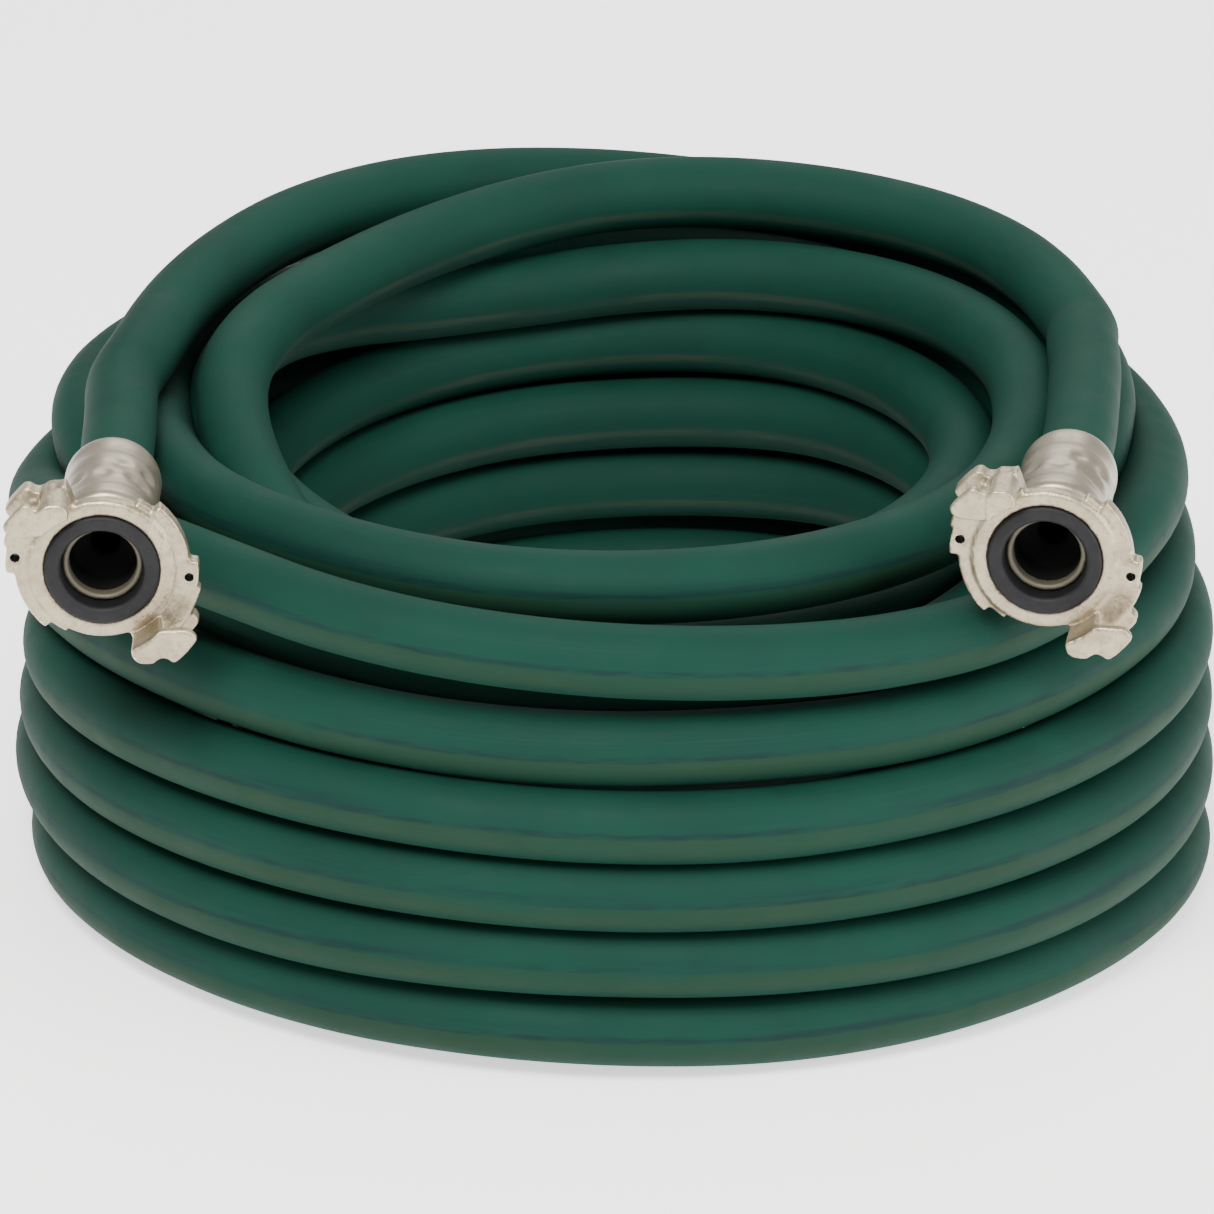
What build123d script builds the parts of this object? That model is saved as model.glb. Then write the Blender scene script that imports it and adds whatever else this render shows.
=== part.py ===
from build123d import *
import math
import os

# ---------------------------------------------------------------------------
# Coiled rubber air hose with a two-claw universal coupling crimped on each end.
# Millimetres. Z is up, the coil stands on Z = 0, the origin is at the bottom
# centre of the whole object. The couplings face -Y, the front of the coil.
# ---------------------------------------------------------------------------

# --- driving dimensions: hose ----------------------------------------------
HOSE_OD = 24.0            # outside diameter of the hose cover
HOSE_ID = 12.7            # half-inch bore
PITCH = 24.0              # one level of the coil: the turns lie on each other

# --- driving dimensions: coil ----------------------------------------------
LOBE = 12.3               # radius that sets the depth of the notch between two turns
R_IN = 127.0              # centre radius of the inner stack of turns
OUTER_RADII = [186.7, 186.7, 186.7, 186.7, 183.5, 180.0]   # centre radius of the outer stack, level by level
TOP_R, TOP_Z = 160.0, 159.5    # seventh level: centre radius of its outer turn, height of its flat head

# --- driving dimensions: the two top turns ----------------------------------
A_CX, A_CY, A_R, A_Z = 13.0, 22.0, 141.0, 174.0      # turn that ends at the right coupling
A_START, A_SWEEP = 0.0, 175.0                        # degrees, ends short of the front
B_CX, B_CY, B_R, B_Z = 1.0, 18.0, 165.0, 173.0       # turn that ends at the left coupling
B_START, B_SWEEP = 112.0, 69.5
F_CX, F_CY, F_R, F_Z = 2.0, -2.0, 138.0, 156.0        # front crest: the turn between the two couplings
F_START, F_SWEEP = 222.0, 96.0

# --- driving dimensions: coupling, along its own axis, face at z = 0 ---------
FACE_R = 23.8             # plain front ring
SHOULDER_R = 28.2         # raised shoulder between claw gap and flange
FLANGE_R = 31.0           # locking flange
FLANGE_FRONT, FLANGE_BACK = -1.5, -8.0
CLAW_TIP = 12.5           # how far the claw reaches past the face
CLAW_GAP = 8.2            # from the face to the underside of the claw's hook
CLAW_IN = 24.5            # inside of the claws, clear of the mating front ring
CLAW_X = (8.3, 29.8)      # each claw is a rounded block at one corner of the casting
CLAW_Y = (-28.4, -17.2)
CLAW_CORNER = 4.2
CLAW_OVER_R = 36.4         # the outer corner of the block is turned off to this radius
POST_X = 17.6             # the post fills the block up to here, the hook overhangs the rest
GROOVE_AT, GROOVE_R = (18.3, -30.0), 3.2               # groove between the claw's two lobes
SEAT_R = 18.5             # gasket seat
SEAT_DEPTH = 7.0
RIM_R, RIM_Z = 12.9, -5.0 # rim between the gasket and the bore
BORE_R = 10.95            # bore behind the face
BORE_DEPTH = 19.0
SHANK_BORE_R = 4.75
CLIP_HOLE_R, CLIP_HOLE_AT = 1.45, 28.0
CLIP_ANGLE = -9.6
HUB_R = 17.0
COLLAR_R = 12.2
FERRULE_OD = 31.6
FERRULE_FRONT, FERRULE_BACK = -26.0, -74.0
GRIP_R = 13.4             # hose radius inside the crimped ferrule
HOSE_STOP = -29.5         # where the cut end of the hose stops inside the ferrule
SHANK_END = -70.0
GASKET_ID_R = 13.3
GASKET_PROUD = 1.0

# --- placing of the couplings -----------------------------------------------
RIGHT_FACE = (136.5, -162.5, 172.0)
RIGHT_AXIS = (-0.1400, -0.9898, -0.0250)
RIGHT_ROLL = 0.0
LEFT_FACE = (-164.8, -170.0, 168.5)
LEFT_AXIS = (-0.0150, -0.9996, -0.0250)
LEFT_ROLL = 3.6


def placed(face, axis, roll):
    """Location of a coupling: local z leaves the hose, local x is to the right seen from the front."""
    z = Vector(*axis).normalized()
    x = Vector(-z.Y, z.X, 0).normalized()
    return Plane(origin=face, x_dir=x, z_dir=z).location * Location((0, 0, 0), (0, 0, roll))


def ring_profile(points):
    """Closed profile in the XZ plane, revolved about Z."""
    return revolve(make_face(Polyline(*[(r, 0, z) for r, z in points], close=True)), Axis.Z, 360)


def sector(radius, a0, a1, z0, z1, inner=0.0):
    """Pie slice between two angles, extruded along z."""
    if a1 < a0:
        a0, a1 = a1, a0
    am = 0.5 * (a0 + a1)

    def p(r, a):
        return (r * math.cos(math.radians(a)), r * math.sin(math.radians(a)), z0)

    if inner > 0:
        wire = [Line(p(inner, a0), p(radius, a0)), ThreePointArc(p(radius, a0), p(radius, am), p(radius, a1)),
                Line(p(radius, a1), p(inner, a1)), ThreePointArc(p(inner, a1), p(inner, am), p(inner, a0))]
    else:
        wire = [Line((0, 0, z0), p(radius, a0)), ThreePointArc(p(radius, a0), p(radius, am), p(radius, a1)),
                Line(p(radius, a1), (0, 0, z0))]
    return extrude(make_face(Curve() + wire), amount=z1 - z0, dir=(0, 0, 1))


# Barbed shank: radii and stations shared by the casting and by the hose bore
SHANK = [(6.9, HOSE_STOP), (6.45, HOSE_STOP - 3.0)]
for barb in range(4):
    station = HOSE_STOP - 3.0 - 8.5 * barb
    SHANK += [(7.5, station - 1.2), (6.45, station - 8.5)]
SHANK += [(6.45, SHANK_END + 1.0), (5.7, SHANK_END)]


def claw_block(z0, z1):
    """Rounded block of one claw between two heights."""
    cx, cy = 0.5 * (CLAW_X[0] + CLAW_X[1]), 0.5 * (CLAW_Y[0] + CLAW_Y[1])
    outline = RectangleRounded(CLAW_X[1] - CLAW_X[0], CLAW_Y[1] - CLAW_Y[0], CLAW_CORNER)
    block = Pos(cx, cy, z0) * extrude(outline, amount=z1 - z0, dir=(0, 0, 1))
    return block & Cylinder(CLAW_OVER_R, 60)


def coupling_head():
    """One malleable casting: front ring, flanges, claws, hub, collar and barbed shank."""
    outer = [(0, 0), (FACE_R - 1.0, 0), (FACE_R, -1.0), (FACE_R, -4.5), (19.6, -10.0), (HUB_R + 0.6, -13.0),
             (HUB_R, -15.5), (HUB_R, -19.0), (COLLAR_R + 0.8, -23.0), (COLLAR_R, -24.5), (COLLAR_R, FERRULE_FRONT),
             (9.0, FERRULE_FRONT), (9.0, FERRULE_FRONT - 2.0), (11.0, FERRULE_FRONT - 2.0), (11.0, HOSE_STOP)]
    body = ring_profile(outer + SHANK + [(0, SHANK_END)])
    for turn in (0, 180):
        body += sector(SHOULDER_R, turn + 1, turn + 46, -1.8, FLANGE_BACK + 0.5, inner=15)
        body += sector(25.8, turn + 45, turn + 60, -2.4, FLANGE_BACK + 1.5, inner=15)
        body += sector(FLANGE_R, turn + 1.5, turn - 72, FLANGE_FRONT, FLANGE_BACK, inner=15)
        body += sector(FLANGE_R + 1.4, turn - 16, turn - 50, FLANGE_FRONT, FLANGE_BACK, inner=20)
        # claw: its root on the flange, the post, then the hook that reaches over the slot
        body += Rot(0, 0, turn) * (claw_block(FLANGE_BACK - 1.2, FLANGE_FRONT - 1.0) - Cylinder(16, 60))
        front = claw_block(FLANGE_FRONT - 1.0, CLAW_TIP)
        hook = claw_block(CLAW_GAP, CLAW_TIP - 0.8)
        post = front & Pos(POST_X - 20, 0, 0) * Box(40, 100, 60)
        body += Rot(0, 0, turn) * ((post + hook) - Cylinder(CLAW_IN, 60))
        # rib under the flange that carries the claw
        body += sector(27.5, turn - 42, turn - 68, FLANGE_BACK, -14.0, inner=12)
        body -= Rot(0, 0, turn) * Pos(GROOVE_AT[0], GROOVE_AT[1], 2.0) * Cylinder(GROOVE_R, 26)
    cut = ring_profile([(0, 2), (SEAT_R, 2), (SEAT_R, -SEAT_DEPTH), (RIM_R, -SEAT_DEPTH), (RIM_R, RIM_Z),
                        (BORE_R + 0.5, RIM_Z), (BORE_R, RIM_Z - 0.5), (BORE_R, -BORE_DEPTH),
                        (SHANK_BORE_R, -BORE_DEPTH - 5.0), (SHANK_BORE_R, SHANK_END - 1), (0, SHANK_END - 1)])
    body -= cut
    for turn in (0, 180):
        a = math.radians(CLIP_ANGLE + turn)
        body -= Pos(CLIP_HOLE_AT * math.cos(a), CLIP_HOLE_AT * math.sin(a), 0.5 * (FLANGE_FRONT + FLANGE_BACK)) * \
            Cylinder(CLIP_HOLE_R, 12)
    return body


def gasket():
    """Face seal: a rubber ring with a rounded lip, seated in the front of the casting."""
    w = SEAT_R - GASKET_ID_R
    return ring_profile([(GASKET_ID_R, -SEAT_DEPTH), (SEAT_R, -SEAT_DEPTH), (SEAT_R, GASKET_PROUD - 0.6),
                         (SEAT_R - 0.7, GASKET_PROUD), (GASKET_ID_R + 0.3 * w, GASKET_PROUD),
                         (GASKET_ID_R + 0.5, GASKET_PROUD - 0.5), (GASKET_ID_R, GASKET_PROUD - 1.4)])


def ferrule():
    """Crimped steel sleeve: curled in behind the collar, squeezed in three bands, rolled in at the back."""
    ro = FERRULE_OD / 2
    f, b = FERRULE_FRONT, FERRULE_BACK
    pts = [(9.0, f), (ro - 2.4, f), (ro - 1.0, f - 0.6), (ro, f - 2.4)]
    for k in range(3):
        z0 = f - 8.0 - 12.5 * k
        pts += [(ro, z0), (ro - 0.3, z0 - 1.8), (ro - 0.3, z0 - 6.2), (ro, z0 - 8.0)]
    pts += [(ro, b + 3.6), (ro - 0.5, b + 1.7), (ro - 1.7, b + 0.4), (ro - 3.2, b),
            (HOSE_OD / 2 + 0.25, b + 0.5), (GRIP_R, b + 3.0), (GRIP_R, f - 2.0), (9.0, f - 2.0)]
    return ring_profile(pts)


def hose_grip():
    """End of the hose inside the ferrule, swollen over the barbs."""
    b = FERRULE_BACK
    return ring_profile([(HOSE_OD / 2, b), (HOSE_OD / 2, b + 0.8), (GRIP_R, b + 3.0), (GRIP_R, HOSE_STOP)] +
                        SHANK + [(HOSE_ID / 2, SHANK_END), (HOSE_ID / 2, b)])


# --- the coil: every wound turn as one closed body of the coil's outer shape --
NOTCH = math.sqrt(LOBE ** 2 - (PITCH / 2) ** 2)      # how far the notch between two turns stands out


def stack():
    """Seven levels of turns as one ring: flat foot, a round side for each turn inside and outside."""
    r_in, count = R_IN, len(OUTER_RADII)
    edges = [Line((r_in - NOTCH, 0, 0), (OUTER_RADII[0] + NOTCH, 0, 0))]
    for k, r_out in enumerate(OUTER_RADII):
        foot, head = PITCH * k, PITCH * (k + 1)
        r_next = OUTER_RADII[k + 1] if k + 1 < count else r_out
        edges.append(ThreePointArc((r_out + NOTCH, 0, foot), (r_out + PITCH / 2, 0, foot + PITCH / 2),
                                   (r_out + NOTCH, 0, head)))
        if r_next != r_out:
            edges.append(Line((r_out + NOTCH, 0, head), (r_next + NOTCH, 0, head)))
    # seventh level, sunk a little between the turns below it
    foot = PITCH * count
    edges += [Line((OUTER_RADII[-1] + NOTCH, 0, foot), (TOP_R + 11.5, 0, foot)),
              ThreePointArc((TOP_R + 11.5, 0, foot), (TOP_R + 9.6, 0, TOP_Z - 4.6), (TOP_R + 1.0, 0, TOP_Z)),
              Line((TOP_R + 1.0, 0, TOP_Z), (r_in - 1.0, 0, TOP_Z)),
              ThreePointArc((r_in - 1.0, 0, TOP_Z), (r_in - 9.6, 0, TOP_Z - 4.6), (r_in - NOTCH, 0, foot))]
    for k in reversed(range(count)):
        foot = PITCH * k
        edges.append(ThreePointArc((r_in - NOTCH, 0, foot + PITCH), (r_in - PITCH / 2, 0, foot + PITCH / 2),
                                   (r_in - NOTCH, 0, foot)))
    return revolve(make_face(Curve() + edges), Axis.Z, 360)


pieces = [stack()]


def top_turn(cx, cy, r, zc, start, sweep_deg):
    """A turn that lies on the coil: part of a ring, on a web that beds it on the turns below."""
    disc = Plane(origin=(r, 0, zc), x_dir=(1, 0, 0), z_dir=(0, -1, 0)) * Circle(HOSE_OD / 2)
    ring = Pos(cx, cy, 0) * Rot(0, 0, start) * revolve(disc, Axis.Z, sweep_deg)
    web = Pos(cx, cy, 0) * sector(r + 8, start, start + sweep_deg, 140.0, zc - 3.0, inner=r - 8)
    return [ring, web]


pieces += top_turn(A_CX, A_CY, A_R, A_Z, A_START, A_SWEEP)
pieces += top_turn(B_CX, B_CY, B_R, B_Z, B_START, B_SWEEP)
pieces += top_turn(F_CX, F_CY, F_R, F_Z, F_START, F_SWEEP)[:1]
coil = pieces[0].fuse(*pieces[1:])


# --- free ends of the hose: from the end faces of the top turns to the ferrules -
def on_ring(cx, cy, r, zc, deg):
    return (cx + r * math.cos(math.radians(deg)), cy + r * math.sin(math.radians(deg)), zc)


def local_point(loc, z):
    v = (loc * Location((0, 0, z))).position
    return (v.X, v.Y, v.Z)


right_loc = placed(RIGHT_FACE, RIGHT_AXIS, RIGHT_ROLL)
left_loc = placed(LEFT_FACE, LEFT_AXIS, LEFT_ROLL)

def leave_ring(cx, cy, r, zc, deg, way, length):
    """Point reached by leaving a top turn along its tangent; way is +1 with rising angle, -1 against it."""
    x, y, zz = on_ring(cx, cy, r, zc, deg)
    return (x - way * math.sin(math.radians(deg)) * length, y + way * math.cos(math.radians(deg)) * length, zz)


RIGHT_ROUTE = [on_ring(A_CX, A_CY, A_R, A_Z, A_START), leave_ring(A_CX, A_CY, A_R, A_Z, A_START, -1, 23.0),
               (153.0, -25.0, 174.2), (151.6, -49.0, 174.4),
               local_point(right_loc, FERRULE_BACK - 21.0), local_point(right_loc, FERRULE_BACK)]
LEFT_ROUTE = [on_ring(B_CX, B_CY, B_R, B_Z, B_START + B_SWEEP),
              leave_ring(B_CX, B_CY, B_R, B_Z, B_START + B_SWEEP, 1, 28.0), (-163.3, -41.5, 172.2),
              local_point(left_loc, FERRULE_BACK - 28.0), local_point(left_loc, FERRULE_BACK)]


def route_path(route):
    """Straight runs joined by tangent arcs, each as large as its two runs allow."""
    pts = [Vector(*p) for p in route]
    runs = [(pts[i + 1] - pts[i]).length for i in range(len(pts) - 1)]
    radii = []
    for i in range(1, len(pts) - 1):
        turn = (pts[i] - pts[i - 1]).get_angle(pts[i + 1] - pts[i])
        radii.append(0.45 * min(runs[i - 1], runs[i]) / math.tan(math.radians(turn) / 2))
    start = Plane(origin=pts[0], z_dir=(pts[1] - pts[0]).normalized())
    return FilletPolyline(*pts, radius=radii), start, runs, radii


def free_end(name, route, loc):
    path, start, runs, radii = route_path(route)
    tube = sweep(start * (Circle(HOSE_OD / 2) - Circle(HOSE_ID / 2)), path=path)
    area = math.pi * (HOSE_OD ** 2 - HOSE_ID ** 2) / 4
    print(name, "runs", [round(r, 1) for r in runs], "radii", [round(r) for r in radii],
          "length", round(path.length, 1), "volume ratio", round(tube.volume / (area * path.length), 4))
    return tube + loc * hose_grip()


head = coupling_head()
seal = gasket()
sleeve = ferrule()

nodes = {
    "hose_coil": coil,
    "right_hose_end": free_end("right_hose_end", RIGHT_ROUTE, right_loc),
    "left_hose_end": free_end("left_hose_end", LEFT_ROUTE, left_loc),
    "right_coupling_head": right_loc * head,
    "left_coupling_head": left_loc * head,
    "right_face_gasket": right_loc * seal,
    "left_face_gasket": left_loc * seal,
    "right_ferrule": right_loc * sleeve,
    "left_ferrule": left_loc * sleeve,
}

os.makedirs("parts", exist_ok=True)
for name, shape in nodes.items():
    solids = shape.solids()
    out = solids[0] if len(solids) == 1 else Compound(children=list(solids))
    out.label = name
    export_step(out, os.path.join("parts", name + ".step"))
    bb = out.bounding_box()
    print(f"{name:22s} solids {len(solids)} vol {out.volume:12.1f} "
          f"min ({bb.min.X:.1f},{bb.min.Y:.1f},{bb.min.Z:.1f}) max ({bb.max.X:.1f},{bb.max.Y:.1f},{bb.max.Z:.1f})")
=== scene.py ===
import math

import bmesh
import bpy
from mathutils import Matrix, Vector, noise


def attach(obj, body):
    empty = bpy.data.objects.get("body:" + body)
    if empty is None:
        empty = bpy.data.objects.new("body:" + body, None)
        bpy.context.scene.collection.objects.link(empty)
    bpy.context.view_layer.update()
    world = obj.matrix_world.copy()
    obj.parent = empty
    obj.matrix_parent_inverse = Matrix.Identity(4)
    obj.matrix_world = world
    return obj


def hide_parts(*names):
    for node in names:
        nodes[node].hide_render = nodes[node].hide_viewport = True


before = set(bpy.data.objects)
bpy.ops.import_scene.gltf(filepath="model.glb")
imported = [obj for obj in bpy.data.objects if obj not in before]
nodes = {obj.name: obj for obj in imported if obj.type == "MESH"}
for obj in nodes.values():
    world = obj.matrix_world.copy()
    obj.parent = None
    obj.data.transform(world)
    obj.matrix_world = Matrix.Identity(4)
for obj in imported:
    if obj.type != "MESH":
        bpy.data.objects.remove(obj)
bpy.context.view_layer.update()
MM = 0.001

# ---------------------------------------------------------------------------
# Camera: a long lens from the front and a little above
# ---------------------------------------------------------------------------
TARGET = Vector((-3.3, 0.0, 87.0)) * MM
DISTANCE = 4.5
ELEVATION = math.radians(22.5)
TILT = 0.010
LENS = 400.3

look = Vector((0.0, math.cos(ELEVATION), -math.sin(ELEVATION)))
rise = Vector((0.0, math.sin(ELEVATION), math.cos(ELEVATION)))
right = Vector((math.cos(TILT), 0, 0)) + rise * math.sin(TILT)
up = Vector((-math.sin(TILT), 0, 0)) + rise * math.cos(TILT)

cam_data = bpy.data.cameras.new("camera")
cam_data.lens = LENS
cam_data.sensor_width = 36.0
cam_data.clip_start = 0.1
cam_data.clip_end = 200.0
camera = bpy.data.objects.new("camera", cam_data)
bpy.context.scene.collection.objects.link(camera)
camera.matrix_world = Matrix.Translation(TARGET - look * DISTANCE) @ Matrix((
    (right.x, up.x, -look.x, 0), (right.y, up.y, -look.y, 0), (right.z, up.z, -look.z, 0), (0, 0, 0, 1)))
bpy.context.scene.camera = camera

# ---------------------------------------------------------------------------
# Hose: control points of its centre line in millimetres, one every 15 degrees.
# It leaves the right coupling, goes once round the top, winds down the inner
# stack, crosses at the bottom, winds up the outer stack and ends at the left
# coupling.
# ---------------------------------------------------------------------------
ROUTE = [
    (140.6, -133.3, 172.7), (143.8, -111, 173.3), (146.9, -89.1, 173.8), (150, -68.2, 174.5),
    (151.6, -49.8, 174.4), (153, -24.8, 174.2), (154.3, -1.1, 173.9), (153.7, 23.3, 174.1),
    (154.8, 37.1, 173.3), (139.3, 81.2, 178), (112.3, 112.5, 180.3), (76.8, 133.8, 181), (38, 143.4, 181.4),
    (-0.5, 141.5, 180.8), (-35.1, 129.3, 178.2), (-63.9, 109.9, 175.2), (-86.6, 86.3, 173.3),
    (-104.6, 60.4, 172.7), (-118.9, 32.2, 173.2), (-128.6, 0.3, 170.1), (-127, -33.9, 161.4),
    (-115.3, -66.4, 148.5), (-96.2, -96, 133), (-68.4, -118.6, 124.7), (-34.9, -130.6, 124.4),
    (0.1, -133, 125.8), (34.1, -127.1, 125.9), (65.5, -113.4, 125.5), (92.5, -92.5, 125.2),
    (113.8, -65.8, 125.4), (129.8, -35, 127), (139.3, -0.3, 130.9), (139.9, 37.1, 135.7), (130.1, 74.7, 141),
    (109.2, 108.9, 146.4), (78.2, 135.2, 151.3), (40.5, 151.1, 152.2), (-0, 156.3, 152.2),
    (-40.4, 150.9, 152.1), (-78.4, 136.1, 151.8), (-113.6, 113.9, 150.7), (-141, 81.4, 150),
    (-155.8, 41.4, 150.3), (-153.9, -0.3, 151.9), (-149.1, -39.8, 154.2), (-135.3, -78.1, 155.8),
    (-110.1, -110.1, 157.1), (-77.4, -134.3, 156.9), (-39.7, -148.6, 156.4), (0.1, -152.1, 156.2),
    (39, -144.9, 156), (74, -127.8, 156), (102.7, -102.4, 156.1), (123, -70.7, 156.7), (133.5, -35.6, 158.3),
    (136.4, -0, 158.2), (133.6, 35.7, 160.5), (118.9, 68.8, 161.8), (95.4, 95.6, 161.8), (66.6, 115.6, 160.1),
    (34.1, 127.6, 157.7), (-0.1, 130.9, 154.1), (-33.7, 126, 150.4), (-66.1, 115, 150), (-96.5, 96.8, 153.7),
    (-120.7, 69.7, 156.5), (-132.5, 35.2, 153.1), (-131, -0.5, 145.4), (-117.8, -32.2, 138.4),
    (-98.3, -57.2, 132.8), (-77.4, -77.6, 130.8), (-53.6, -93.1, 130.1), (-27.5, -102.9, 130.3),
    (-0, -106.3, 131), (27.5, -102.9, 131.9), (53.5, -92.7, 133), (76.2, -76.3, 134), (94.6, -54.8, 134.9),
    (107.9, -29.1, 135.5), (115.4, -0.3, 135.7), (115.5, 30.7, 135.8), (107.4, 61.7, 135.8),
    (90.7, 90.3, 135.8), (66.1, 114.1, 135.4), (35, 129.9, 133.4), (0.1, 136.1, 130.3), (-35.4, 132.1, 127.4),
    (-68.1, 117.9, 125.5), (-95.2, 95, 123.1), (-114.7, 66.1, 120.5), (-125.7, 33.5, 117.9),
    (-127.8, -0.1, 115.3), (-121.4, -32.7, 113), (-107, -61.9, 111.1), (-85.8, -86, 109.8),
    (-59.6, -103.4, 108.7), (-30.4, -113.8, 107.7), (0, -116.9, 107), (30.1, -112.5, 106.4),
    (58.2, -100.8, 105.8), (82.6, -82.7, 105.5), (102.1, -59.1, 105.7), (115.7, -31.1, 106.7),
    (122, -0.1, 107.9), (120, 32, 109.2), (109.4, 63, 110.3), (90.7, 90.6, 111.4), (64.8, 112.1, 110.9),
    (33.5, 125.1, 108), (-0, 129.3, 105.3), (-33.4, 124.7, 103.6), (-64.3, 111.3, 101.5), (-90.3, 90.2, 99.1),
    (-109.6, 63.2, 96.4), (-121.2, 32.4, 93.8), (-124.5, -0.1, 91.2), (-119.6, -32.1, 89), (-106.9, -61.7, 87),
    (-87.3, -87.3, 85.8), (-61.9, -107.1, 85), (-32.2, -120, 84.5), (-0.1, -125.1, 84.3), (32.6, -121.8, 84.2),
    (63.5, -110.2, 84.2), (90.7, -90.8, 84.3), (112.2, -64.9, 84.6), (126.2, -33.9, 85.1), (131.7, -0.1, 85.8),
    (128, 34.3, 86.5), (115.2, 66.5, 86.9), (94.1, 94.2, 86.6), (66.2, 114.8, 84.7), (33.9, 126.9, 81.7),
    (-0.1, 130.4, 79.7), (-33.6, 125.1, 78.1), (-64.3, 111.2, 76.1), (-90, 89.9, 73.8), (-109.1, 62.9, 71.4),
    (-120.6, 32.2, 69), (-123.8, -0.1, 66.8), (-118.9, -31.9, 64.7), (-106.1, -61.3, 63), (-86.5, -86.5, 61.7),
    (-61.2, -105.9, 60.9), (-31.8, -118.4, 60.5), (-0, -123.2, 60.3), (32, -119.7, 60.2), (62.3, -108, 60.2),
    (88.8, -88.8, 60.1), (109.5, -63.3, 59.9), (122.9, -33, 59.5), (127.9, -0, 58.8), (123.9, 33.2, 58),
    (111.3, 64.3, 56.9), (90.9, 90.9, 55.7), (64.1, 111.1, 54.3), (33.1, 123.5, 52.7), (-0, 127.3, 51),
    (-32.8, 122.2, 49.3), (-62.9, 108.9, 47.5), (-88.4, 88.3, 45.7), (-107.5, 62, 44), (-119.2, 31.9, 42.4),
    (-122.8, -0, 40.9), (-118.2, -31.7, 39.6), (-105.7, -61.1, 38.5), (-86.3, -86.3, 37.6),
    (-61.1, -105.8, 36.9), (-31.7, -118.3, 36.4), (-0, -123, 36.2), (31.9, -119.4, 36.1), (62.1, -107.7, 36.1),
    (88.4, -88.5, 36), (108.9, -62.9, 35.8), (122.2, -32.8, 35.4), (127.1, -0, 34.7), (123.2, 33, 33.9),
    (110.7, 63.9, 32.8), (90.5, 90.5, 31.6), (63.9, 110.7, 30.2), (33, 123.1, 28.6), (-0, 127, 26.9),
    (-32.7, 122, 25.2), (-62.8, 108.7, 23.4), (-88.3, 88.2, 21.6), (-107.4, 62, 19.9), (-119.1, 31.9, 18.2),
    (-122.7, -0, 16.8), (-118, -31.7, 15.5), (-105.6, -61, 14.4), (-86.3, -86.2, 13.5), (-61.1, -105.9, 12.8),
    (-31.8, -118.6, 12.3), (-0.1, -123.7, 12.1), (32.2, -120.6, 12.1), (63.1, -109.5, 12.1),
    (90.6, -90.8, 12.1), (112.8, -65.3, 12.1), (128.3, -34.5, 12.1), (135.6, -0.2, 12.1), (134, 35.7, 12.1),
    (123.2, 70.9, 12.1), (103.3, 102.9, 12.1), (75.1, 129.5, 12.1), (40.1, 148.6, 12.1), (0.3, 158.2, 12.1),
    (-41.8, 157.1, 12.1), (-83.3, 144.8, 12.1), (-121.1, 121.6, 12.1), (-152.4, 88.3, 12.1),
    (-174.5, 47.1, 12.1), (-185, 0.2, 12.1), (-179.4, -48.1, 12.7), (-159.8, -92.3, 14.4),
    (-130.2, -130.2, 15.4), (-92.1, -159.5, 15.8), (-47.7, -177.9, 16.2), (-0, -184.7, 15.6),
    (48, -179.2, 14.2), (93, -161.1, 13.6), (131.9, -132, 13.6), (162.5, -94, 13.2), (183.1, -49.2, 12.4),
    (189.6, 0.3, 12.1), (174.7, 47.1, 12.1), (156.7, 90.4, 12.1), (128, 128, 12.1), (90.5, 156.6, 12.1),
    (47.4, 176.3, 13.7), (0.2, 184.9, 16.3), (-48.4, 181.1, 19.3), (-94.9, 164.6, 22.7), (-135.7, 135.9, 26),
    (-167.4, 96.7, 29.3), (-186.5, 49.8, 32.3), (-190.3, -0.1, 34.6), (-182.7, -49, 36.4), (-164.1, -94.7, 38),
    (-133.9, -134, 39), (-94.5, -163.7, 40), (-48.7, -181.9, 41.3), (-0, -188.1, 41.5), (48.8, -182.5, 40.1),
    (94.9, -164.5, 38.4), (134.8, -134.8, 37.4), (165.1, -95.3, 37), (183.7, -49.2, 37.2), (189.4, 0, 37.8),
    (182.4, 48.9, 38.6), (163.2, 94.3, 39.5), (133, 133.1, 40.5), (93.9, 162.7, 41.7), (48.5, 181.2, 43.2),
    (-0, 187.4, 44.8), (-48.5, 180.9, 46.5), (-93.6, 162.2, 48.5), (-132.5, 132.5, 50.5), (-162.5, 93.8, 52.7),
    (-181.6, 48.7, 55.1), (-188.6, 0, 57.4), (-182.9, -49, 60.1), (-164.5, -94.9, 62.1), (-134.4, -134.4, 64.1),
    (-95, -164.6, 65.4), (-49.3, -183.8, 65.8), (-0, -190.6, 65.3), (49.4, -184.2, 64.3), (95.3, -165.1, 63.7),
    (134.7, -134.7, 63), (164.7, -95.1, 62.3), (182.9, -48.9, 62.1), (188.3, 0.1, 62.4), (181.2, 48.6, 62.9),
    (162.1, 93.6, 63.7), (132.1, 132.1, 64.6), (93.1, 161.4, 65.8), (48, 179.4, 67.2), (-0.1, 184.9, 68.7),
    (-47.7, 177.7, 70.5), (-91.6, 158.5, 72.4), (-128.8, 128.8, 74.3), (-157.5, 90.9, 76.2),
    (-176.4, 47.4, 77.9), (-186.5, 0.3, 80), (-183.4, -49, 84), (-165.2, -95.4, 87.1), (-135, -135, 89.5),
    (-95.4, -165.3, 90.4), (-49.4, -184.3, 90.2), (-0, -191, 89.3), (49.5, -184.5, 88.3), (95.3, -165.1, 88.3),
    (134.9, -134.9, 88.2), (165.2, -95.4, 88.3), (183.8, -49.1, 88.5), (187.6, 0.1, 88), (180.1, 48.3, 87.5),
    (161.6, 93.3, 87.7), (132.6, 132.5, 88.7), (94.5, 163.5, 89.8), (49.4, 184.1, 90.8), (0.1, 192.5, 91.7),
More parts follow.
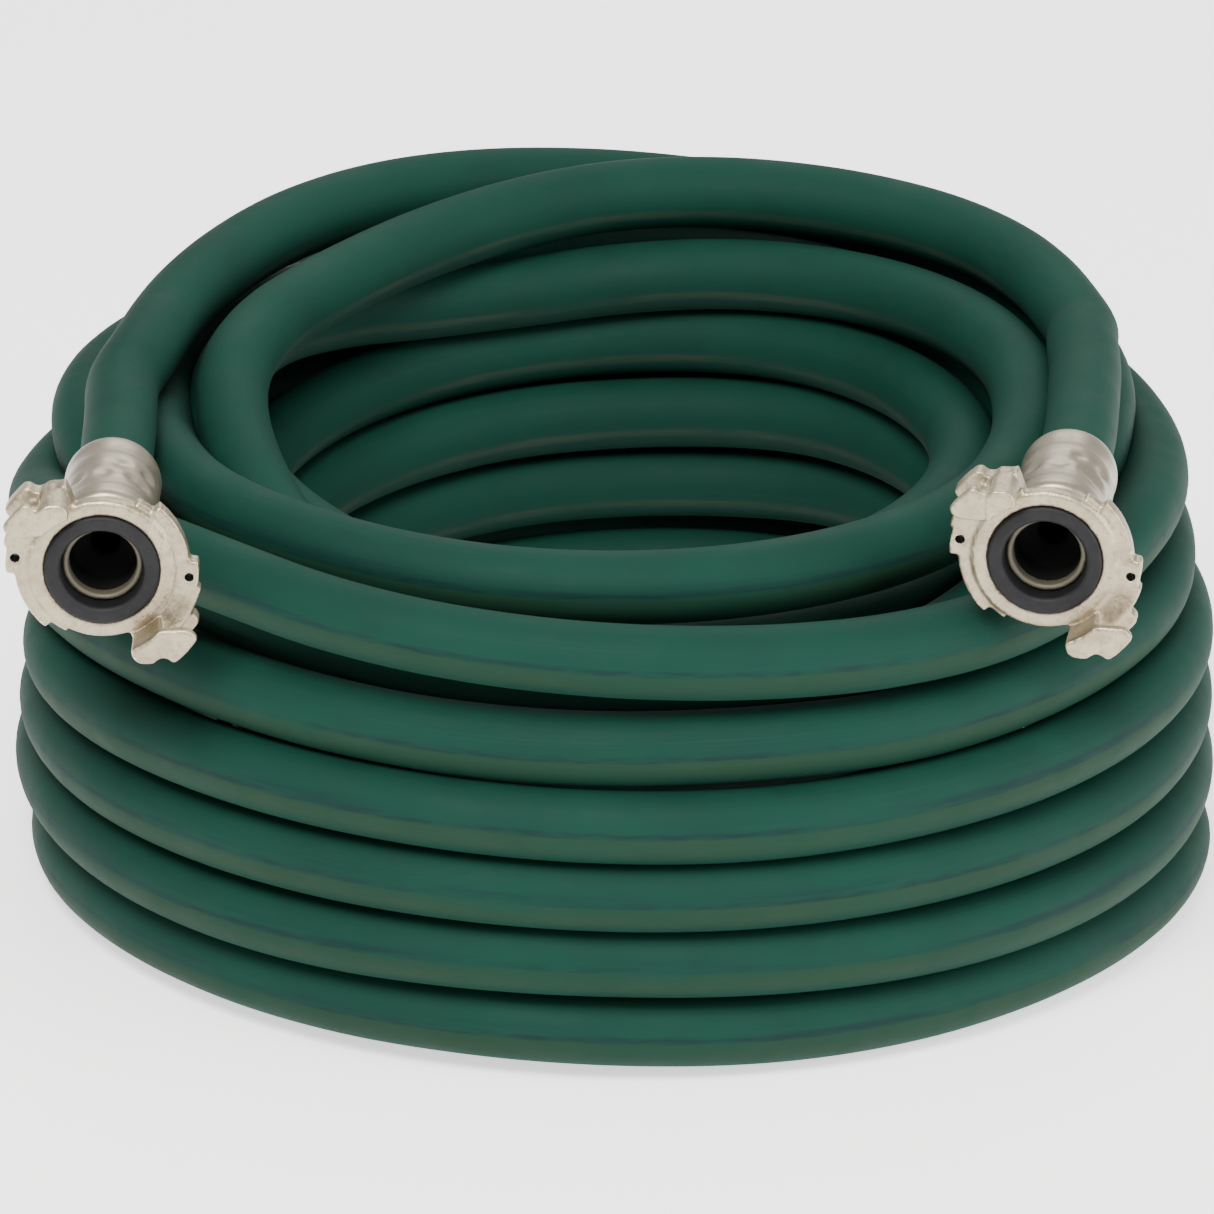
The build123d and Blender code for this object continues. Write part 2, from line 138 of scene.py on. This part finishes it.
    (-50.2, 187.9, 92.3), (-98, 170, 92.8), (-139.7, 139.8, 93.4), (-171.4, 98.9, 94.6), (-189.9, 50.7, 97),
    (-191, -0.4, 102.5), (-179.8, -48.4, 107.8), (-159.2, -92, 111.4), (-129.4, -129.4, 113.4),
    (-91.7, -158.7, 113.7), (-47.4, -177, 113.3), (0, -183, 113), (47.3, -176.4, 113.1), (91.5, -158.5, 111.4),
    (129.2, -129.1, 111.6), (157.9, -91.2, 111.7), (176.3, -47.2, 111.1), (181.5, 0, 111.5), (176.1, 47.1, 111),
    (158.8, 91.6, 111.6), (130.4, 130.3, 112.6), (92.7, 160.4, 113.6), (48.2, 179.8, 114.5),
    (0.1, 187.1, 115.2), (-48.6, 181.6, 115.6), (-94.3, 163.4, 116), (-133.9, 133.9, 116.5),
    (-164.5, 95, 117.5), (-183.5, 49.3, 119.8), (-192.6, 0.1, 123.6), (-184, -49.6, 137),
    (-159.8, -92.6, 148.1), (-129.6, -129.6, 151.3), (-92.1, -159.4, 149), (-47.7, -178.1, 146.6),
    (0, -184.3, 144.2), (47.6, -177.7, 141.5), (91.9, -159.1, 138.7), (129.2, -128.9, 137.2),
    (155.5, -89.6, 138.7), (172.2, -46.1, 139.4), (178.6, -0.1, 135.5), (175.2, 46.7, 134.3),
    (159.5, 91.9, 135.7), (131.4, 131.3, 136.7), (93.5, 161.8, 137.8), (48.6, 181.3, 138.7), (0, 188.4, 139.4),
    (-48.9, 182.7, 140), (-94.8, 164.3, 140.4), (-134.1, 134.1, 140.9), (-163.4, 94.2, 141.6),
    (-178.5, 47.4, 143), (-175.9, -0.7, 141.4), (-159.8, -43.3, 132.9), (-140.3, -81.2, 127.9),
    (-113.7, -113.8, 123.9), (-80.2, -139, 120.9), (-41, -153.4, 118.9), (0.1, -156.6, 117.8),
    (40.4, -150.9, 117.6), (78.1, -135.3, 118.3), (110, -110, 124.4), (134.3, -77.5, 132.3), (149, -40, 140.4),
    (158.5, -0.5, 149.5), (161.5, 42.8, 152.5), (149.6, 86.1, 156.6), (123.9, 123.8, 160.8),
    (87.8, 152.2, 164.9), (45.1, 168.6, 168.9), (-0.2, 172.2, 172.8), (-44, 163.1, 176.5), (-82.6, 142.5, 179),
    (-113.1, 112.7, 179.2), (-134.6, 77.4, 178), (-149, 40.7, 176.9), (-158.6, -3.7, 175.8),
    (-164.1, -18.7, 172.5), (-163.2, -44.4, 172.2), (-163.3, -67.1, 171), (-163.7, -97.2, 170.3),
    (-164, -117.7, 169.8), (-164.4, -140.5, 169.2),
]
HOSE_R = 12.0 * MM
SIDES = 36

line_data = bpy.data.curves.new("hose_line", "CURVE")
line_data.dimensions = "3D"
line_data.resolution_u = 8
spline = line_data.splines.new("NURBS")
spline.points.add(len(ROUTE) - 1)
for point, p in zip(spline.points, ROUTE):
    point.co = (p[0] * MM, p[1] * MM, p[2] * MM, 1.0)
spline.order_u = 3
spline.use_endpoint_u = True
line_object = bpy.data.objects.new("hose_line", line_data)
bpy.context.scene.collection.objects.link(line_object)
bpy.context.view_layer.update()
line_mesh = bpy.data.meshes.new_from_object(line_object.evaluated_get(bpy.context.evaluated_depsgraph_get()))
path = [v.co.copy() for v in line_mesh.vertices]
bpy.data.meshes.remove(line_mesh)
bpy.data.objects.remove(line_object)
run = [0.0]
for a, b in zip(path, path[1:]):
    run.append(run[-1] + (b - a).length)
HOSE_LENGTH = run[-1]


def smoothstep(a, b, x):
    t = min(1.0, max(0.0, (x - a) / (b - a)))
    return t * t * (3 - 2 * t)


def hose_radius(s, phi):
    """Outside radius: swollen over the barbs inside each ferrule, a touch uneven elsewhere."""
    end = min(s, HOSE_LENGTH - s)
    swell = 1.35 * MM * (1 - smoothstep(40 * MM, 44 * MM, end))
    wave = 0.10 * MM * noise.noise(Vector((s * 9.0, 1.7 * math.cos(phi), 1.7 * math.sin(phi))))
    wave += 0.05 * MM * noise.noise(Vector((s * 40.0, 2.5 * math.cos(phi) + 7, 2.5 * math.sin(phi))))
    return HOSE_R + swell + wave * smoothstep(46 * MM, 60 * MM, end)


def tube(name, centre, stations, sides, radius, bore=None):
    """Skin round a centre line. u goes round from the underside, v is the run in metres."""
    verts, faces, uvs = [], [], []
    frames = []
    for i, p in enumerate(centre):
        t = (centre[min(i + 1, len(centre) - 1)] - centre[max(i - 1, 0)]).normalized()
        out = Vector((p.x, p.y, 0)).normalized()
        out = (out - t * out.dot(t)).normalized()
        frames.append((p, out, out.cross(t)))
    for (p, out, over), s in zip(frames, stations):
        for j in range(sides):
            phi = 2 * math.pi * j / sides - math.pi / 2
            r = radius(s, phi)
            verts.append(p + out * (r * math.cos(phi)) + over * (r * math.sin(phi)))
    for i in range(len(centre) - 1):
        for j in range(sides):
            k = (j + 1) % sides
            faces.append((i * sides + j, i * sides + k, (i + 1) * sides + k, (i + 1) * sides + j))
            uvs += [(j / sides, stations[i]), ((j + 1) / sides, stations[i]),
                    ((j + 1) / sides, stations[i + 1]), (j / sides, stations[i + 1])]
    # cut ends: a ring of rubber round the bore, closed at the back of the bore
    for i, way in ((0, 1), (len(centre) - 1, -1)):
        p, out, over = frames[i]
        t = (centre[1] - centre[0]).normalized() if i == 0 else (centre[-1] - centre[-2]).normalized()
        loops = [[i * sides + j for j in range(sides)]]
        for r, depth in ((bore, 0.0), (bore, 40 * MM), (0.0, 40 * MM)):
            if r > 0:
                loops.append(list(range(len(verts), len(verts) + sides)))
                for j in range(sides):
                    phi = 2 * math.pi * j / sides - math.pi / 2
                    verts.append(p + t * (way * depth) + out * (r * math.cos(phi)) + over * (r * math.sin(phi)))
            else:
                loops.append([len(verts)] * sides)
                verts.append(p + t * (way * depth))
        for a, b in zip(loops, loops[1:]):
            for j in range(sides):
                k = (j + 1) % sides
                if b[j] == b[k]:
                    face = (a[j], b[j], a[k])
                else:
                    face = (a[j], b[j], b[k], a[k])
                faces.append(face if way > 0 else tuple(reversed(face)))
                uvs += [(0.0, stations[i])] * len(face)
    mesh = bpy.data.meshes.new(name)
    mesh.from_pydata([tuple(v) for v in verts], [], faces)
    layer = mesh.uv_layers.new(name="run")
    layer.data.foreach_set("uv", [c for uv in uvs for c in uv])
    mesh.polygons.foreach_set("use_smooth", [True] * len(mesh.polygons))
    bm = bmesh.new()
    bm.from_mesh(mesh)
    bmesh.ops.recalc_face_normals(bm, faces=bm.faces)
    bm.to_mesh(mesh)
    bm.free()
    mesh.update()
    obj = bpy.data.objects.new(name, mesh)
    bpy.context.scene.collection.objects.link(obj)
    return obj


hose = tube("hose", path, run, SIDES, hose_radius, bore=7.7 * MM)

# ---------------------------------------------------------------------------
# Materials
# ---------------------------------------------------------------------------


class Nodes:
    """Short-hand for building a node tree."""

    def __init__(self, name):
        self.mat = bpy.data.materials.new(name)
        self.mat.use_nodes = True
        self.tree = self.mat.node_tree
        self.bsdf = self.tree.nodes["Principled BSDF"]

    def node(self, kind, **values):
        n = self.tree.nodes.new(kind)
        for key, value in values.items():
            setattr(n, key, value)
        return n

    def link(self, a, b):
        self.tree.links.new(a, b)

    def value(self, kind, *inputs, **extra):
        n = self.node("ShaderNodeMath", operation=kind, **extra)
        for i, x in enumerate(inputs):
            if isinstance(x, (int, float)):
                n.inputs[i].default_value = x
            else:
                self.link(x, n.inputs[i])
        return n.outputs[0]

    def ramp(self, x, a, b, lo=0.0, hi=1.0):
        n = self.node("ShaderNodeMapRange", interpolation_type="SMOOTHSTEP")
        self.link(x, n.inputs["Value"])
        for key, v in (("From Min", a), ("From Max", b), ("To Min", lo), ("To Max", hi)):
            n.inputs[key].default_value = v
        return n.outputs[0]

    def noise(self, vector, scale, detail=3.0, rough=0.5, stretch=None):
        if stretch:
            m = self.node("ShaderNodeMapping")
            m.inputs["Scale"].default_value = stretch
            self.link(vector, m.inputs["Vector"])
            vector = m.outputs[0]
        n = self.node("ShaderNodeTexNoise")
        n.inputs["Scale"].default_value = scale
        n.inputs["Detail"].default_value = detail
        n.inputs["Roughness"].default_value = rough
        self.link(vector, n.inputs["Vector"])
        return n.outputs["Fac"]

    def mix(self, factor, a, b):
        n = self.node("ShaderNodeMix", data_type="RGBA")
        for socket, x in ((n.inputs[0], factor), (n.inputs[6], a), (n.inputs[7], b)):
            if isinstance(x, tuple):
                socket.default_value = (*x, 1.0)
            elif isinstance(x, (int, float)):
                socket.default_value = x
            else:
                self.link(x, socket)
        return n.outputs[2]

    def bump(self, height, strength, distance, base=None):
        n = self.node("ShaderNodeBump")
        n.inputs["Strength"].default_value = strength
        n.inputs["Distance"].default_value = distance
        self.link(height, n.inputs["Height"])
        if base is not None:
            self.link(base, n.inputs["Normal"])
        return n.outputs[0]


def rubber_hose():
    m = Nodes("hose_rubber")
    uv = m.node("ShaderNodeUVMap", uv_map="run").outputs[0]
    xyz = m.node("ShaderNodeTexCoord").outputs["Object"]
    parts = m.node("ShaderNodeSeparateXYZ")
    m.link(uv, parts.inputs[0])
    u, v = parts.outputs[0], parts.outputs[1]
    # slow drift of the stripe round the hose
    drift = m.value("MULTIPLY", m.value("SUBTRACT", m.noise(uv, 1.0, 1.0, stretch=(0.0, 1.3, 0.0)), 0.5), 0.05)
    w = m.value("ADD", u, drift)
    patchy = m.noise(uv, 1.0, 4.0, 0.6, stretch=(10.0, 14.0, 0.0))
    broken = m.noise(uv, 1.0, 3.0, 0.6, stretch=(60.0, 90.0, 0.0))
    # olive tint below the layline on the outer side: part brownish print tint, part painted warm bounce light
    # on the lower side
    zone = m.value("MULTIPLY", m.ramp(w, 0.262, 0.245), m.ramp(w, 0.10, 0.19))
    olive_print_and_bounce = m.value("MULTIPLY", zone, m.ramp(patchy, 0.25, 0.65, 0.35, 1.0))
    # dark, slightly broken edge line of the layline
    line = m.value("MULTIPLY", m.ramp(w, 0.247, 0.256), m.ramp(w, 0.292, 0.264))
    line = m.value("MULTIPLY", line, m.ramp(broken, 0.38, 0.62, 0.15, 1.0))
    line = m.value("MULTIPLY", line, m.ramp(patchy, 0.35, 0.6, 0.25, 1.0))
    # bluish, patchy smear just above the layline
    blotch = m.noise(uv, 1.0, 4.0, 0.65, stretch=(16.0, 9.0, 0.0))
    smudge = m.value("MULTIPLY", m.ramp(w, 0.252, 0.266), m.ramp(w, 0.335, 0.275))
    smudge = m.value("MULTIPLY", smudge, m.ramp(blotch, 0.46, 0.62))
    # thin lengthwise rub lines
    lines = m.noise(uv, 1.0, 3.0, 0.7, stretch=(150.0, 2.2, 0.0))
    rubbed = m.value("MULTIPLY", m.ramp(lines, 0.56, 0.70), m.ramp(patchy, 0.3, 0.7, 0.0, 0.5))
    # lighter tan band along the inner side
    inner = m.value("MULTIPLY", m.ramp(w, 0.765, 0.79), m.ramp(w, 0.83, 0.805))
    inner = m.value("MULTIPLY", inner, m.ramp(patchy, 0.35, 0.7, 0.1, 0.8))
    mottled = m.noise(xyz, 55.0, 5.0, 0.62)
    cloud = m.noise(xyz, 22.0, 3.0)
    base = m.mix(m.ramp(cloud, 0.3, 0.7), (0.0003, 0.0232, 0.0150), (0.0006, 0.0288, 0.0180))
    base = m.mix(m.ramp(mottled, 0.3, 0.75, 0.0, 0.5), base, (0.0016, 0.0325, 0.0205))
    base = m.mix(m.value("MULTIPLY", olive_print_and_bounce, 0.75), base, (0.0075, 0.0260, 0.0115))
    base = m.mix(rubbed, base, (0.0050, 0.0420, 0.0270))
    base = m.mix(m.value("MULTIPLY", smudge, 0.6), base, (0.0008, 0.0120, 0.0140))
    base = m.mix(m.value("MULTIPLY", line, 0.8), base, (0.0008, 0.0120, 0.0120))
    base = m.mix(m.value("MULTIPLY", inner, 0.55), base, (0.048, 0.050, 0.038))
    m.link(base, m.bsdf.inputs["Base Color"])
    m.link(m.ramp(mottled, 0.2, 0.8, 0.66, 0.80), m.bsdf.inputs["Roughness"])
    m.bsdf.inputs["Specular IOR Level"].default_value = 0.16
    grain = m.noise(xyz, 900.0, 2.0)
    smear = m.noise(uv, 1.0, 3.0, 0.5, stretch=(30.0, 12.0, 0.0))
    n = m.bump(grain, 0.12, 0.0002)
    n = m.bump(smear, 0.10, 0.0006, n)
    m.link(n, m.bsdf.inputs["Normal"])
    return m.mat


def casting():
    """Zinc-plated malleable iron: a warm, matte metal with a grainy skin; painted shade with some dirt darkens
    the corners, edge wear with a painted highlight lightens the sharp edges.
    """
    m = Nodes("plated_casting")
    xyz = m.node("ShaderNodeTexCoord").outputs["Object"]
    edge = m.node("ShaderNodeNewGeometry").outputs["Pointiness"]
    patch = m.noise(xyz, 150.0, 4.0, 0.65)
    speck = m.noise(xyz, 620.0, 3.0, 0.6)
    base = m.mix(m.ramp(patch, 0.3, 0.7), (0.300, 0.245, 0.165), (0.430, 0.370, 0.265))
    base = m.mix(m.ramp(speck, 0.52, 0.72, 0.0, 0.45), base, (0.185, 0.140, 0.092))
    # painted shade with some dirt: a darker colour in the hollows, where pointiness is low
    base = m.mix(m.ramp(edge, 0.495, 0.44, 0.0, 0.8), base, (0.150, 0.112, 0.072))
    # edge wear plus painted highlight: a lighter colour on the sharp edges, where pointiness is high
    base = m.mix(m.ramp(edge, 0.515, 0.57, 0.0, 0.65), base, (0.640, 0.575, 0.450))
    m.link(base, m.bsdf.inputs["Base Color"])
    m.bsdf.inputs["Metallic"].default_value = 0.85
    m.link(m.ramp(patch, 0.3, 0.7, 0.34, 0.50), m.bsdf.inputs["Roughness"])
    n = m.bump(speck, 0.30, 0.0004)
    n = m.bump(patch, 0.55, 0.0014, n)
    m.link(n, m.bsdf.inputs["Normal"])
    return m.mat


def plated_steel():
    m = Nodes("plated_steel")
    xyz = m.node("ShaderNodeTexCoord").outputs["Object"]
    patch = m.noise(xyz, 60.0, 3.0, 0.6)
    fine = m.noise(xyz, 500.0, 2.0)
    base = m.mix(m.ramp(patch, 0.3, 0.7), (0.27, 0.235, 0.175), (0.33, 0.29, 0.222))
    m.link(base, m.bsdf.inputs["Base Color"])
    m.bsdf.inputs["Metallic"].default_value = 0.9
    m.link(m.ramp(fine, 0.3, 0.7, 0.34, 0.42), m.bsdf.inputs["Roughness"])
    m.link(m.bump(fine, 0.10, 0.0004), m.bsdf.inputs["Normal"])
    return m.mat


def black_rubber():
    m = Nodes("gasket_rubber")
    xyz = m.node("ShaderNodeTexCoord").outputs["Object"]
    fine = m.noise(xyz, 400.0, 3.0)
    m.link(m.mix(m.ramp(fine, 0.3, 0.7), (0.0035, 0.0034, 0.0045), (0.0065, 0.0062, 0.0075)), m.bsdf.inputs["Base Color"])
    m.bsdf.inputs["Roughness"].default_value = 0.6
    m.bsdf.inputs["Specular IOR Level"].default_value = 0.25
    m.link(m.bump(fine, 0.15, 0.0003), m.bsdf.inputs["Normal"])
    return m.mat


def painted_bore_shade():
    # painted shade: near-black colour for the inside of the bore and the clip holes, which lie in shade
    m = Nodes("painted_bore_shade")
    m.bsdf.inputs["Base Color"].default_value = (0.006, 0.006, 0.006, 1)
    m.bsdf.inputs["Roughness"].default_value = 0.8
    m.bsdf.inputs["Specular IOR Level"].default_value = 0.1
    return m.mat


def painted_rim_shade():
    # painted shade: a darker colour for the rim in the recess behind the gasket
    m = Nodes("painted_rim_shade")
    m.bsdf.inputs["Base Color"].default_value = (0.085, 0.077, 0.052, 1)
    m.bsdf.inputs["Metallic"].default_value = 0.3
    m.bsdf.inputs["Roughness"].default_value = 0.55
    return m.mat


rubber, cast, steel, seal = rubber_hose(), casting(), plated_steel(), black_rubber()
bore_shade, rim_shade = painted_bore_shade(), painted_rim_shade()
hose.data.materials.append(rubber)
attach(hose, "root")
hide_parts("hose_coil", "right_hose_end", "left_hose_end")

# ---------------------------------------------------------------------------
# Couplings: each casting gets rounded edges, each ferrule its crimp marks
# ---------------------------------------------------------------------------


def copy_of(node, name):
    obj = bpy.data.objects.new(name, nodes[node].data.copy())
    bpy.context.scene.collection.objects.link(obj)
    obj.data.materials.clear()
    return obj


def baked(obj):
    """The object with its modifiers applied."""
    bpy.context.view_layer.update()
    mesh = bpy.data.meshes.new_from_object(obj.evaluated_get(bpy.context.evaluated_depsgraph_get()))
    old = obj.data
    obj.modifiers.clear()
    obj.data = mesh
    bpy.data.meshes.remove(old)


def softened(node, name, voxel, rounds, keep=(), dents=()):
    """The node's shape as a casting: sharp edges worn round, except near the points in keep.
    dents are (point, direction, width, depth): shallow dimples pressed in along a direction."""
    obj = copy_of(node, name)
    remesh = obj.modifiers.new("skin", "REMESH")
    remesh.mode = "VOXEL"
    remesh.voxel_size = voxel
    baked(obj)
    for point, way, width, depth in dents:
        for v in obj.data.vertices:
            d = (v.co - point).length
            if d < 3 * width:
                v.co += way * (depth * math.exp(-(d / width) ** 2))
    group = obj.vertex_groups.new(name="worn")
    for v in obj.data.vertices:
        near = min([(v.co - k).length for k in keep], default=1.0)
        group.add([v.index], 0.06 + 0.94 * smoothstep(3.4 * MM, 5.0 * MM, near), "REPLACE")
    smooth = obj.modifiers.new("round", "SMOOTH")
    smooth.factor = 0.5
    smooth.iterations = rounds
    smooth.vertex_group = "worn"
    baked(obj)
    obj.data.polygons.foreach_set("use_smooth", [True] * len(obj.data.polygons))
    return obj


PLACES = {"right": ((136.5, -162.5, 172.0), (-0.1400, -0.9898, -0.0250), 0.0),
          "left": ((-164.8, -170.0, 168.5), (-0.0150, -0.9996, -0.0250), 3.6)}
CLIP_HOLE_AT, CLIP_ANGLE = 28.0, -9.6
# crimp dimples of the sleeve: angle round it, distance behind the face, width, depth
DIMPLES = ((92, -44, 3.0, 1.3), (72, -52, 2.8, 1.1), (56, -44, 2.8, 1.3), (40, -43, 2.6, 1.2),
           (34, -53, 2.8, 1.2), (126, -45, 3.0, 1.2), (200, -46, 3.0, 1.2), (290, -48, 3.0, 1.2))


def frame_of(place):
    """Face centre and the three axes of a coupling: right, up, out of the hose."""
    face, z = Vector(place[0]) * MM, Vector(place[1]).normalized()
    x = Vector((-z.y, z.x, 0)).normalized()
    y = z.cross(x)
    a = math.radians(place[2])
    return face, x * math.cos(a) + y * math.sin(a), y * math.cos(a) - x * math.sin(a), z


def paint_head(obj, place, inside, rim):
    """Painted shade: the rim behind the gasket gets a darker colour, and the bore behind it and the clip holes
    are painted black inside.
    """
    obj.data.materials.append(inside)
    obj.data.materials.append(rim)
    face, x, y, z = frame_of(place)
    for poly in obj.data.polygons:
        rel = poly.center - face
        lx, ly, lz = rel.dot(x), rel.dot(y), rel.dot(z)
        r = math.hypot(lx, ly)
        if -40 * MM < lz < -8.8 * MM and r < 11.7 * MM:
            poly.material_index = 1
        elif -8.9 * MM < lz < -2.0 * MM and r < 14.0 * MM:
            poly.material_index = 2
        elif lz < -1.8 * MM and 25 * MM < r < 31 * MM:
            for turn in (0, 180):
                a = math.radians(CLIP_ANGLE + turn)
                hole = math.hypot(lx - CLIP_HOLE_AT * MM * math.cos(a), ly - CLIP_HOLE_AT * MM * math.sin(a))
                if hole < 1.75 * MM:
                    poly.material_index = 1


for side in ("right", "left"):
    face, x, y, z = frame_of(PLACES[side])
    holes = []
    for turn in (0, 180):
        a = math.radians(CLIP_ANGLE + turn)
        holes.append(face + (x * math.cos(a) + y * math.sin(a)) * (CLIP_HOLE_AT * MM) - z * (1.5 * MM))
    head = softened(side + "_coupling_head", side + "_head", 0.45 * MM, 26, keep=holes)
    head.data.materials.append(cast)
    paint_head(head, PLACES[side], bore_shade, rim_shade)
    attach(head, "root")
    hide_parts(side + "_coupling_head")
    dents = []
    for deg, back, width, depth in DIMPLES:
        a = math.radians(deg)
        out = x * math.cos(a) + y * math.sin(a)
        dents.append((face + out * (15.6 * MM) + z * (back * MM), -out, width * MM, depth * MM))
    sleeve = softened(side + "_ferrule", side + "_sleeve", 0.45 * MM, 30, dents=dents)
    sleeve.data.materials.append(steel)
    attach(sleeve, "root")
    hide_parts(side + "_ferrule")
    ring = softened(side + "_face_gasket", side + "_gasket", 0.35 * MM, 3)
    ring.data.materials.append(seal)
    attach(ring, "root")
    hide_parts(side + "_face_gasket")

# ---------------------------------------------------------------------------
# Floor, light
# ---------------------------------------------------------------------------
floor_mesh = bpy.data.meshes.new("floor")
floor_mesh.from_pydata([(-60, -20, 0), (60, -20, 0), (60, 120, 0), (-60, 120, 0)], [], [(0, 1, 2, 3)])
floor = bpy.data.objects.new("floor", floor_mesh)
bpy.context.scene.collection.objects.link(floor)
paper = Nodes("paper")
paper.bsdf.inputs["Base Color"].default_value = (0.93, 0.93, 0.93, 1)
paper.bsdf.inputs["Roughness"].default_value = 0.9
paper.bsdf.inputs["Specular IOR Level"].default_value = 0.1
paper.bsdf.inputs["Emission Color"].default_value = (1, 1, 1, 1)
paper.bsdf.inputs["Emission Strength"].default_value = 1.15
floor_mesh.materials.append(paper.mat)


def area(name, place, aim, size, watts, colour=(1, 1, 1), size_y=None):
    data = bpy.data.lights.new(name, "AREA")
    data.energy = watts
    data.color = colour
    data.size = size
    if size_y:
        data.shape = "RECTANGLE"
        data.size_y = size_y
    obj = bpy.data.objects.new(name, data)
    obj.location = place
    obj.rotation_euler = (Vector(aim) - Vector(place)).to_track_quat("-Z", "Y").to_euler()
    bpy.context.scene.collection.objects.link(obj)
    return obj


area("key", (-0.5, -1.5, 2.1), (0, 0, 0.08), 1.0, 92, (1.0, 0.985, 0.955))
area("spark", (0.25, -2.2, 2.6), (0, 0, 0.15), 0.30, 16, (1.0, 0.99, 0.97))
area("fill", (2.1, -1.0, 1.0), (0.1, 0, 0.08), 1.6, 52)
area("back", (0.2, 1.8, 1.9), (0, 0, 0.12), 1.6, 26, (0.97, 0.99, 1.0))

world = bpy.data.worlds.new("studio")
world.use_nodes = True
world.node_tree.nodes["Background"].inputs["Color"].default_value = (1, 1, 1, 1)
world.node_tree.nodes["Background"].inputs["Strength"].default_value = 0.85
bpy.context.scene.world = world
